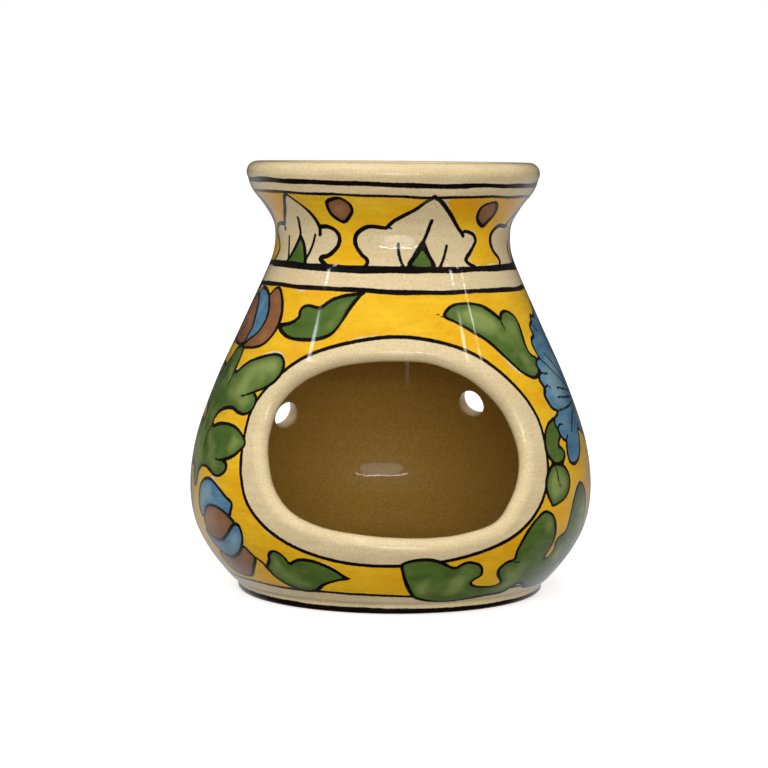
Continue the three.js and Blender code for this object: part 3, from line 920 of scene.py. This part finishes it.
# ---- The neck -------------------------------------------------------------------------------
# Thrown apart and luted to the pot with slip: a waist, a flare and a lip rolled outwards.
# A step inside the mouth is the seat of the dish.

LIP_TOP = 107.0
LIP_ROLL = 2.65
LIP_RADIUS = 33.85
SEAT = 99.5

neck_skin = evenly(skin[skin[:, 1] >= SEAM], 0.5)
neck_skin[0] = wall_at(SEAM)[:2]
lip = [
    (LIP_RADIUS + LIP_ROLL * math.cos(angle), LIP_TOP - LIP_ROLL + LIP_ROLL * math.sin(angle))
    for angle in np.radians(np.arange(-28, 176, 9))
]
mouth = [(31.15, 103.5), (31.0, 102.5), (30.9, 101), (30.9, SEAT + 0.6), (30.7, SEAT + 0.15), (30.2, SEAT)]
seat_edge = [(28, SEAT), (27.5, SEAT - 0.15), (27.2, SEAT - 0.6), (26.9, 97.5)]
throat = np.column_stack(wall_at(np.linspace(96.8, SEAM, 9), WALL)[:2])
throat[-1, 1] = SEAM
neck_bm = bmesh.new()
turn(neck_bm, neck_skin.tolist() + lip + mouth + seat_edge + throat.tolist() + neck_skin[:1].tolist(), 480)
bmesh.ops.recalc_face_normals(neck_bm, faces=neck_bm.faces)
neck = finish_piece("painted_neck", neck_bm, [SEAM])
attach(neck, "burner")
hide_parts("neck_collar")

# A row of lotus flowers runs round the neck, with a brown dot between each two.
lotus = {
    "petals": [
        (0, 99), (0, 99), (-3.2, 97.7), (-6.7, 96.1), (-11.6, 94.6), (-15.9, 93.3), (-18.9, 91.9),
        (-19.5, 91.5), (-23, 91.7), (-27.2, 91.8), (-30.7, 91.2), (-33.6, 89.9), (-34.4, 88.3),
        (-33.2, 86.6), (-31.1, 85.2), (-28.6, 84.1), (-27.9, 83.2), (-28.6, 81.9), (-20, 81.7), (0, 81.6),
        (15, 81.6), (24.1, 81.9), (21.6, 82.7), (19.5, 83.6), (20.2, 84.4), (22.3, 85.5), (25.1, 87.2),
        (26.4, 88.4), (25.1, 89.7), (22.3, 90.4), (19.5, 90.7), (17.6, 90.4), (13.8, 92.4), (10.3, 94.4),
        (6.7, 96.3), (3.2, 98),
    ],
    "heart": [(-2.5, 87.4), (-2.5, 87.4), (-6, 84.9), (-8.8, 82.5), (-2, 81.8), (2.5, 82.3), (0.4, 84.9)],
    "strokes": [
        ([(1.2, 93.3), (0.4, 91.6), (-1.4, 89.1), (-3.9, 87.2), (-6.7, 84.9), (-9.5, 82.6)], 0.5, 0.35),
        ([(-1.7, 87.9), (0.4, 85.2), (2.5, 82.4)], 0.35, 0.5),
        ([(-13.9, 87.7), (-13.8, 85.8), (-12.7, 83.6), (-11.4, 82.2)], 0.42, 0.35),
        ([(9.6, 87.3), (8.5, 85.5), (7.1, 83.8), (5.3, 82.3)], 0.38, 0.35),
        ([(-18.9, 91.9), (-16.9, 91.3)], 0.36, 0.3),
        ([(17.4, 90.3), (18.6, 89.6)], 0.45, 0.5),
    ],
}
left_lotus = {
    "petals": [
        (0, 99.4), (0, 99.4), (-4.1, 97.5), (-7.9, 95.3), (-11.8, 93.5), (-14, 92.2), (-15.6, 91.9),
        (-20.7, 91.8), (-24.5, 91.2), (-27.2, 89.8), (-26, 88.8), (-24, 87.8), (-22.3, 86.5),
        (-21.6, 85.4), (-23.2, 84), (-25.1, 82.6), (-24, 81.8), (0, 81.7), (16, 81.7), (17.6, 82),
        (15.4, 82.8), (13.1, 83.7), (13.7, 84.3), (16.9, 84.6), (20.4, 86), (22.3, 87.5), (22.6, 89.3),
        (20.1, 90.9), (16.2, 91.6), (12.4, 91.5), (12, 91.4), (10.8, 93), (8.6, 95), (5.4, 96.8),
        (2.2, 98.3),
    ],
    "heart": [
        (-1.3, 89), (-1.3, 89), (-4.1, 87), (-7.9, 84), (-9.5, 82.4), (-2, 81.6), (4, 82.4), (3.2, 84.5),
        (1, 87.5),
    ],
    "strokes": [
        ([(-0.6, 93.5), (-1.3, 91.5), (-1.3, 89.5), (-4.1, 87), (-7.9, 84), (-9.5, 82.9)], 0.5, 0.35),
        ([(-1.2, 89), (1, 87.4), (3.2, 84.5), (4.1, 82.7)], 0.36, 0.5),
        ([(-11, 88.8), (-10.8, 86.5), (-9.9, 84.5), (-8.9, 82.9)], 0.4, 0.38),
        ([(8.9, 89.5), (7.3, 87), (5.4, 84.8), (3.8, 83.2)], 0.36, 0.42),
        ([(-14.4, 92), (-14.8, 90.5)], 0.4, 0.5),
        ([(12.1, 91.3), (11.8, 89.6)], 0.5, 0.55),
    ],
}
brown_dot = [
    (-5.4, 96.4), (-2, 97.4), (1.5, 97.6), (4.6, 96.4), (5.4, 94.6), (3, 92.9), (0.6, 91.9), (-2.6, 92.6),
    (-5.2, 94),
]

neck_painting = Painting(neck)
for flower, apex in (
    (left_lotus, -48.5), (lotus, 16.4), (lotus, 88), (left_lotus, 143), (lotus, -160), (left_lotus, -106),
):
    neck_painting.shape("cream", shifted(flower["petals"], apex))
    neck_painting.shape("green", shifted(flower["heart"], apex))
    for points, start, end in flower["strokes"]:
        neck_painting.stroke(shifted(points, apex), start, end)
for middle, rise in ((-23.4, 0.9), (46.3, 0), (116, 0.4), (174, 0.8), (-132, 0.2), (-79, 0.6)):
    neck_painting.shape("brown", [(azimuth + middle, height + rise) for azimuth, height in brown_dot])
for start, middle, end in ((-62, -14, 34), (34, 80, 130), (130, 200, 270)):
    neck_painting.stroke([(start, 81.8), (middle, 81.6)], 0.5, 1.05)
    neck_painting.stroke([(middle, 81.6), (end, 81.8)], 1.05, 0.5)
neck_painting.store()
neck.data.materials.append(
    painted_glaze("neck_glaze", (82.0, 99.2), [(81.75, 0.65), (99.2, 0.35), (101.95, 0.58)], 0.54, True)
)


# ---- The oil dish ---------------------------------------------------------------------------
# A small thrown bowl that holds water and scented oil over the flame. Its flange lies on the
# seat with nothing to hold it, so it lifts straight out.

dish_low, dish_high = (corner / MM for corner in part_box("oil_dish"))
flange_under = SEAT + 0.3
flange_top = dish_high.z
flange_radius = dish_high.x
dish_outline = smooth_line([
    (0, dish_low.z), (6, dish_low.z), (11, dish_low.z), (15, 83.95), (18.9, 85.2), (22.7, 88.9), (24.6, 93.5),
    (25.6, 98), (26.3, 99.5), (27.6, flange_under), (29.2, flange_under), (30, 100.2), (flange_radius, 101.2),
    (30.05, 102.2), (29.2, flange_top), (27.2, flange_top - 0.05), (25.6, 102.4), (24.3, 101.3), (23.4, 99.2),
    (22, 94.4), (20, 90), (16.5, 87.6), (11, 86.7), (5, 86.6), (0, 86.6),
], per_span=8)
dish_bm = bmesh.new()
turn(dish_bm, evenly(dish_outline, 0.9), 240)
bmesh.ops.recalc_face_normals(dish_bm, faces=dish_bm.faces)
dish = finish_piece("loose_oil_dish", dish_bm)

dish_glaze = bpy.data.materials.new("dish_glaze")
dish_glaze.use_nodes = True
tree = dish_glaze.node_tree
surface = tree.nodes["Principled BSDF"]
object_place = add(tree, "TexCoord").outputs["Object"]
thin = place_group(tree, brush_streaks, Patch_Scale=110, Streak_Scale=300, Streak_Share=0.3)["Load"]
grain = noise(tree, object_place, 2200, 3, 0.6)
thickness = maths(tree, "MULTIPLY_ADD", grain, 0.6, maths(tree, "MULTIPLY", thin, 0.4))
colour = blend(tree, thickness, SLIP_SHADE, SLIP)
level = maths(tree, "MULTIPLY", add(tree, "SeparateXYZ", {"Vector": object_place}).outputs["Z"], 1 / MM)
radius = add(tree, "VectorMath", {0: object_place, 1: (1 / MM, 1 / MM, 0)}, operation="MULTIPLY").outputs[0]
radius = add(tree, "VectorMath", {0: radius}, operation="LENGTH").outputs["Value"]
pooled = ramp(tree, level, 91.0, 86.8)
colour = blend(tree, maths(tree, "MULTIPLY", pooled, 0.45), colour, tint(206, 170, 102))
rim = maths(tree, "SUBTRACT", level, flange_top - 0.35)
rim_wear = place_group(tree, brushed_edge, Depth=rim, Waver=0.35, Waver_Scale=260, Softness=0.3)[0]
colour = blend(tree, maths(tree, "MULTIPLY", rim_wear, 0.55), colour, tint(168, 112, 62))
for scale, share, size in ((820, 0.1, 0.17), (1700, 0.14, 0.26)):
    specks = place_group(tree, clay_specks, Scale=scale, Share=share, Size=size)["Mask"]
    colour = blend(tree, maths(tree, "MULTIPLY", specks, 0.6), colour, SPECK)
outside_ring = maths(tree, "SUBTRACT", radius, 27.8)
resting = maths(tree, "MINIMUM", outside_ring, maths(tree, "SUBTRACT", SEAT + 0.45, level))
wiped = place_group(tree, brushed_edge, Depth=resting, Waver=0.2, Waver_Scale=500, Softness=0.12)[0]
colour = blend(tree, wiped, colour, BARE_CLAY)
tree.links.new(colour, surface.inputs["Base Color"])
skin_height = place_group(tree, glaze_skin, Swell=0.6, Rings=0.6, Peel=0.3)["Height"]
bump = add(tree, "Bump", {"Strength": 0.5, "Distance": 0.0006, "Height": skin_height})
tree.links.new(bump.outputs[0], surface.inputs["Normal"])
dull = maths(tree, "MULTIPLY_ADD", noise(tree, object_place, 90, 3), 0.12, 0.2)
tree.links.new(blend_value(tree, wiped, dull, 0.85), surface.inputs["Roughness"])
tree.links.new(blend_value(tree, wiped, 1.0, 0.0), surface.inputs["Coat Weight"])
surface.inputs["Coat Roughness"].default_value = 0.06
dish.data.materials.append(dish_glaze)
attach(dish, "dish")
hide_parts("oil_dish")
